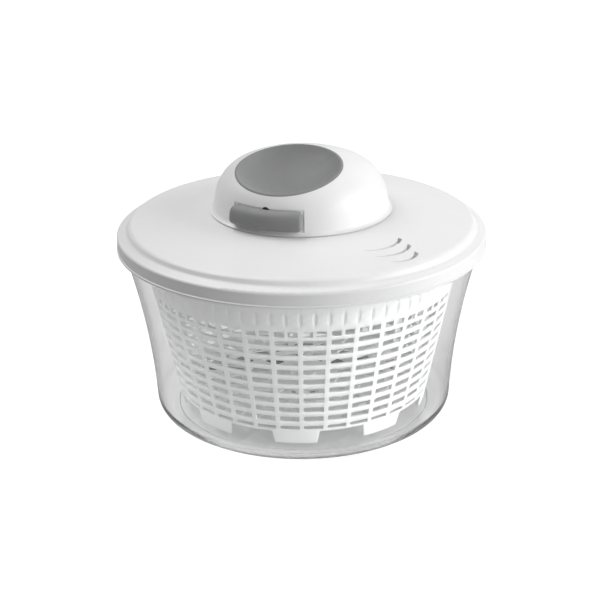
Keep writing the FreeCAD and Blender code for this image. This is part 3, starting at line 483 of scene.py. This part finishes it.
rib_z = np.array([basket_top_z - rib_height, basket_top_z - rim_thick / 2])
rib_root = cone_r(rib_z) - basket_wall / 2
rib_tip = rib_root - basket_wall / 2 - rib_depth
rib_side = np.array([(rib_tip[0], rib_z[0]), (rib_root[0], rib_z[0]), (rib_root[1], rib_z[1]),
                     (rib_tip[1], rib_z[1])])
rib_half = math.degrees(rib_width / 2 / rib_root[0])
for k in range(columns):
    azimuth = first_bar + k * step
    corners = lathe(rib_side, azimuth + rib_half * np.array([-1, -1, 1, 1]))
    corners[0] = corners[0].mean(0)
    corners[3] = corners[3].mean(0)
    rib = surface("basket_rib_%02d" % (k + 1), corners, basket_pp_painted_brighter, "basket", around=False)

foot_top_z = basket_low_z + short_row_rise - short_row_height / 2 - foot_clear
foot_z = np.linspace(basket_low_z - foot_height, foot_top_z, 6)
foot_half = np.linspace(foot_low_half, foot_top_half, 6)
for k in range(foot_count):
    middle = foot_azimuth + 360.0 * k / foot_count
    spread = np.linspace(-1, 1, 13)[:, None] * foot_half[None, :]
    a = np.radians(middle + spread)
    r = (cone_r(foot_z) + flush)[None, :]
    plate = np.stack([r * np.sin(a), -r * np.cos(a), foot_z[None, :] + 0 * a], -1)
    foot = surface("basket_foot_%d" % (k + 1), plate, basket_pp_painted_brighter, "basket", around=False, closed=False)
    if foot.data.polygons[0].normal.dot(foot.data.polygons[0].center.normalized()) < 0:
        foot.data.flip_normals()
    soften(foot, foot_edge_soft, basket_wall)
dress(basket_pp_painted_brighter, "basket_floor")


# ---- lid ----
# The lid is a stepped disc in the same white polypropylene, with a skirt over the bowl's rim, three
# crescent vents and a collar in the middle.  An acetal ring pressed into the collar carries the drive.

dress(white_pp, "lid")
dress(acetal, "lid_bearing")


# ---- drive under the lid ----
# The ratchet hub and the spoked drive wheel are white polypropylene.  A washer of acetal, another of
# zinc-plated steel and four zinc-plated screws hold them on the axle.

zinc_steel, tree, shader, spot = finish("zinc_plated_steel", Metallic=1.0)
grained(tree, spot, shader, "#B9BCC0", "#D3D5D8", 3.0, (0.28, 0.45), 0.25, 0.006)
dress(white_pp, "ratchet_hub", "drive_wheel")
dress(zinc_steel, "drive_screws", "retaining_washer", "retaining_screw", "housing_screws")
dress(acetal, "thrust_washer")


# ---- reel, recoil spring and pawls ----
# The reel turns on a ground steel axle.  Inside its white drum a flat spring of blued steel winds up as the
# cord is pulled, and under it three acetal pawls catch the hub's teeth.

ground_steel, tree, shader, spot = finish("ground_steel", Metallic=1.0)
grained(tree, spot, shader, "#C4C5C6", "#CFD0D1", 6.0, (0.16, 0.26), 0.3, 0.003)
spring_steel, tree, shader, spot = finish("blued_spring_steel", Metallic=1.0)
grained(tree, spot, shader, "#4A5260", "#5F6875", 4.0, (0.22, 0.38), 0.4, 0.004)
braided_nylon, tree, shader, spot = finish("braided_nylon_cord", IOR=1.53, Sheen_Weight=0.25, Roughness=0.7)
strand = 0.7                # width of one strand of the braid
turn_one = add(tree, "TexWave", {"Vector": spot, "Scale": 0.3 / (strand * MM)}, bands_direction="DIAGONAL")
turn_two = add(tree, "Mapping", {"Vector": spot, "Scale": (-1, 1, -1)})
turn_two = add(tree, "TexWave", {"Vector": turn_two.outputs["Vector"], "Scale": 0.3 / (strand * MM)},
               bands_direction="DIAGONAL")
plait = add(tree, "Math", {0: turn_one.outputs["Fac"], 1: turn_two.outputs["Fac"]}, operation="MAXIMUM")
shade = add(tree, "Mix", {0: plait.outputs[0], 6: linear("#A9A9A6"), 7: linear("#DEDEDA")},
            data_type="RGBA")
raised = add(tree, "Bump", {"Height": plait.outputs[0], "Distance": 0.15 * MM, "Strength": 1.0})
tree.links.new(shade.outputs[2], shader.inputs["Base Color"])
tree.links.new(raised.outputs["Normal"], shader.inputs["Normal"])
dress(ground_steel, "axle")
dress(spring_steel, "recoil_spring")
dress(white_pp, "cord_reel", "reel_cap")
dress(acetal, "spring_arbor", "reel_bush", "pawl_1", "pawl_2", "pawl_3")
dress(braided_nylon, "cord_winding", "cord_inner_run", "cord_knot", "pull_cord")


# ---- grip housing ----
# A white polypropylene dome covers the reel and is screwed up through the lid.  Its shell is a tapered
# wall, a tight shoulder and a flat crown, cut by the palm scoop at the front.

dress(white_pp, "grip_housing")

deck_z = lid_high.z / MM
dome_height = 42.6
dome_r = 59.9               # wall where the shoulder starts
dome_taper = math.radians(10.0)
crown_r = 115.0             # of the sphere that the crown is cut from
shoulder_r = 30.0
dome_top_z = deck_z + dome_height
shoulder_middle_r = dome_r - shoulder_r * math.cos(dome_taper)
meet = math.asin(shoulder_middle_r / (crown_r - shoulder_r))
shoulder_middle_z = dome_top_z - crown_r + (crown_r - shoulder_r) * math.cos(meet)
wall_top_z = shoulder_middle_z + shoulder_r * math.sin(dome_taper)


def wall_at(z):
    """Outer radius of the dome's tapered wall."""
    return dome_r + (wall_top_z - z) * math.tan(dome_taper)


# ---- palm inlay ----
# A skin of grey thermoplastic elastomer is moulded into the scoop.  It is matt and slightly rough, so that
# a wet palm doesn't slip, and it ends flush with the dome.

scoop_r = 34.2              # of the ball's cut by the scoop's tilted plane
scoop_depth = 13.5
scoop_offset = 18.8         # that plane's middle in front of the axis
scoop_drop = 9.3            # and below the dome's top
scoop_tilt = math.radians(14.0)
inlay_wall = 1.5
inlay_edge_soft = 0.35

# soft-touch TPE: no clear highlight, a bloom of sheen at grazing angles and a sand-like grain
soft_grey, tree, shader, spot = finish("soft_touch_elastomer", IOR=1.45, Sheen_Weight=0.12,
                                       Sheen_Roughness=0.5)
grained(tree, spot, shader, "#808181", "#8A8A8A", 22.0, (0.48, 0.62), 0.45, 0.015)

ball_r = (scoop_r ** 2 + scoop_depth ** 2) / (2 * scoop_depth)
lift_up = ball_r - scoop_depth
ball = np.array([0, -scoop_offset - lift_up * math.sin(scoop_tilt),
                 dome_top_z - scoop_drop + lift_up * math.cos(scoop_tilt)])
crown = np.linspace(0, meet, 300)
shoulder = np.linspace(meet, math.pi / 2 - dome_taper, 300)
crown_line = np.stack([crown_r * np.sin(crown), dome_top_z - crown_r + crown_r * np.cos(crown)], -1)
shoulder_line = np.stack([shoulder_middle_r + shoulder_r * np.sin(shoulder),
                          shoulder_middle_z + shoulder_r * np.cos(shoulder)], -1)
dome_line = np.vstack([crown_line, shoulder_line])
round_scoop = np.arange(0, 360, 2.5)
dome_grid = lathe(dome_line, round_scoop)


def scoop_edge(radius):
    """Where each meridian of the dome leaves a ball of that radius round the scoop's centre."""
    away = np.linalg.norm(dome_grid - ball, axis=-1) - radius
    last = (away < 0).sum(1) - 1
    row = np.arange(len(round_scoop))
    share = (away[row, last] / (away[row, last] - away[row, last + 1]))[:, None]
    return dome_grid[row, last] * (1 - share) + dome_grid[row, last + 1] * share


def cup(radius, shares):
    """Great arcs on the ball from its lowest point, along the scoop's tilted axis, to the scoop's edge."""
    down = np.array([0, math.sin(scoop_tilt), -math.cos(scoop_tilt)])
    out = (scoop_edge(radius) - ball) / radius
    angle = np.arccos(out @ down)[:, None, None]
    shares = shares[None, :, None]
    arc = (np.sin((1 - shares) * angle) * down + np.sin(shares * angle) * out[:, None]) / np.sin(angle)
    return ball + radius * arc


shares = np.linspace(0, 1, 22)
inlay_grid = np.concatenate([cup(ball_r, shares), cup(ball_r + inlay_wall, shares[::-1])], 1)
inlay = surface("palm_inlay_skin", inlay_grid, soft_grey, "lid", closed=False)
soften(inlay, inlay_edge_soft)
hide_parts("palm_inlay")


# ---- cord guide ----
# A stadium-shaped ring of black nylon lines the hole that the cord comes out of.

black_nylon, tree, shader, spot = finish("moulded_black_nylon", IOR=1.53)
grained(tree, spot, shader, "#2B2C2D", "#3A3B3C", 8.0, (0.35, 0.5), 0.4, 0.01)
dress(black_nylon, "cord_guide", "handle_back")


# ---- pull handle ----
# The handle is a bar with a D-shaped section that follows the dome's wall, in the inlay's grey elastomer
# over a stiff core.  A back plate closes it behind the cord's knot.

handle_gap = 0.4
pocket_depth = 0.8          # of the dome's pocket for the handle
handle_edge = 1.0
handle_bulge = 6.0
handle_half_span = 25.0     # degrees round the axis
handle_end = 3.6            # length over which an end rounds off
handle_fullness = 2.6       # 2 would be an ellipse, more is squarer
back_wall = 1.6
back_inset = 1.6            # from the bar's long edges to the back plate's recess
handle_edge_soft = 0.4

handle_low_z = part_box("pull_handle")[0].z / MM
handle_high_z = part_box("pull_handle")[1].z / MM
handle_z = (handle_low_z + handle_high_z) / 2
handle_half = (handle_high_z - handle_low_z) / 2
back = handle_gap - pocket_depth

# section: a superellipse in front, and behind it a flat back with the recess for the back plate
v = np.linspace(-math.pi / 2, math.pi / 2, 25)
bow = np.sign(np.sin(v)) * np.abs(np.sin(v)) ** (2 / handle_fullness)
front_share = np.abs(np.cos(v)) ** (2 / handle_fullness)
front_out = back + handle_edge + (handle_bulge - back - handle_edge) * front_share
recess_up = np.array([1, 1 - back_inset / handle_half, 1 - back_inset / handle_half])
section_up = np.concatenate([bow, recess_up, -recess_up[::-1]])
section_out = np.concatenate([front_out, [back, back, back + back_wall, back + back_wall, back, back]])
u = np.sin(np.linspace(-math.pi / 2, math.pi / 2, 81))
turned = u * handle_half_span
to_end = (1 - np.abs(u)) * math.radians(handle_half_span) * dome_r
taken = np.clip(1 - to_end / handle_end, 0, 1)
full = (1 - taken ** handle_fullness) ** (1 / handle_fullness)
up_z = handle_z + full[:, None] * section_up[None, :] * handle_half
out_r = wall_at(up_z) + back + full[:, None] * (section_out[None, :] - back)
turned_rad = np.radians(turned)[:, None]
handle_grid = np.stack([out_r * np.sin(turned_rad), -out_r * np.cos(turned_rad), up_z], -1)
handle = surface("grey_pull_handle", handle_grid, soft_grey, "handle", around=False)
soften(handle, handle_edge_soft)
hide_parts("pull_handle")


# ---- pull cord ----
# A 2 mm braided nylon cord runs from the reel through the guide to a knot in the handle.  As the handle is
# pulled, more of it comes off the reel, so the visible run grows straight out of the guide.

cord_r = 1.0
cord_low, cord_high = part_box("pull_cord")
cord_z = (cord_low.z + cord_high.z) / 2 / MM
cord_ends = np.linspace(cord_high.y, cord_low.y, 25) / MM
round_cord = np.radians(np.arange(0, 360, 22.5))
ring_x = cord_r * np.cos(round_cord)
ring_z = cord_z + cord_r * np.sin(round_cord)
tube = np.stack([ring_x[None, :] + 0 * cord_ends[:, None], cord_ends[:, None] + 0 * ring_x[None, :],
                 ring_z[None, :] + 0 * cord_ends[:, None]], -1)
near = np.repeat(np.array([[[0, cord_ends[0], cord_z]]]), len(round_cord), 1)
far = np.repeat(np.array([[[0, cord_ends[-1], cord_z]]]), len(round_cord), 1)
line = surface("pull_line", np.concatenate([near, tube, far]), braided_nylon, None, around=False)
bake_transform(line)
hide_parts("pull_cord")

bpy.context.view_layer.update()
